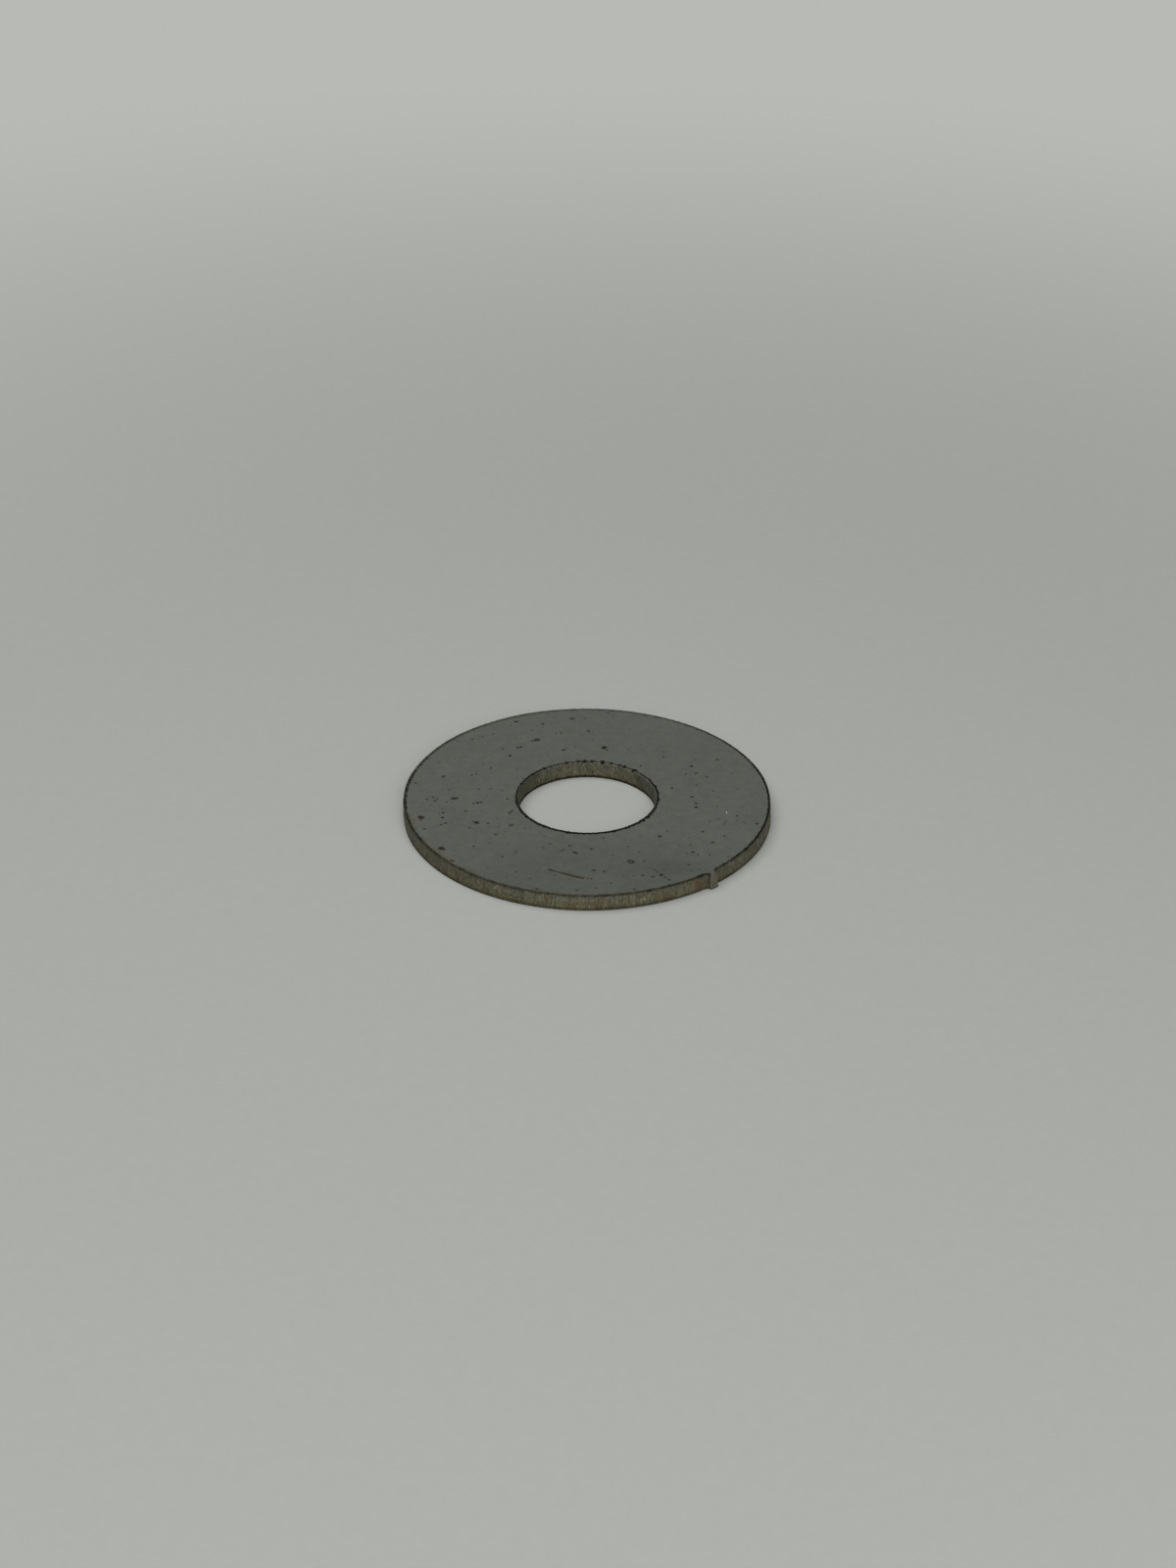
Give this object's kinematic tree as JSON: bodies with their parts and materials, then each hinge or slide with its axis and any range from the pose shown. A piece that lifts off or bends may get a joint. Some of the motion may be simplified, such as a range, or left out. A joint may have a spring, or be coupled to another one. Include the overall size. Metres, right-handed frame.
{
  "type": "fender washer",
  "caption": "Flat steel fender washer: a wide thin ring round a small bolt hole, with one short nib on its rim.",
  "frame": {"origin": "centre of the underside, on the axis of the bore", "axes": "+Z along the bore's axis, out of the upper face, which has the melted round edges; the rim's nib is at 49.2 degrees from +X towards -Y"},
  "size_m": [0.0318, 0.0318, 0.0015],
  "materials": {
    "steel": "bare hot-cut sheet steel, matt grey faces, brown oxide on the cut walls"
  },
  "bodies": {
    "root": {"washer": "steel"}
  },
  "joints": []
}
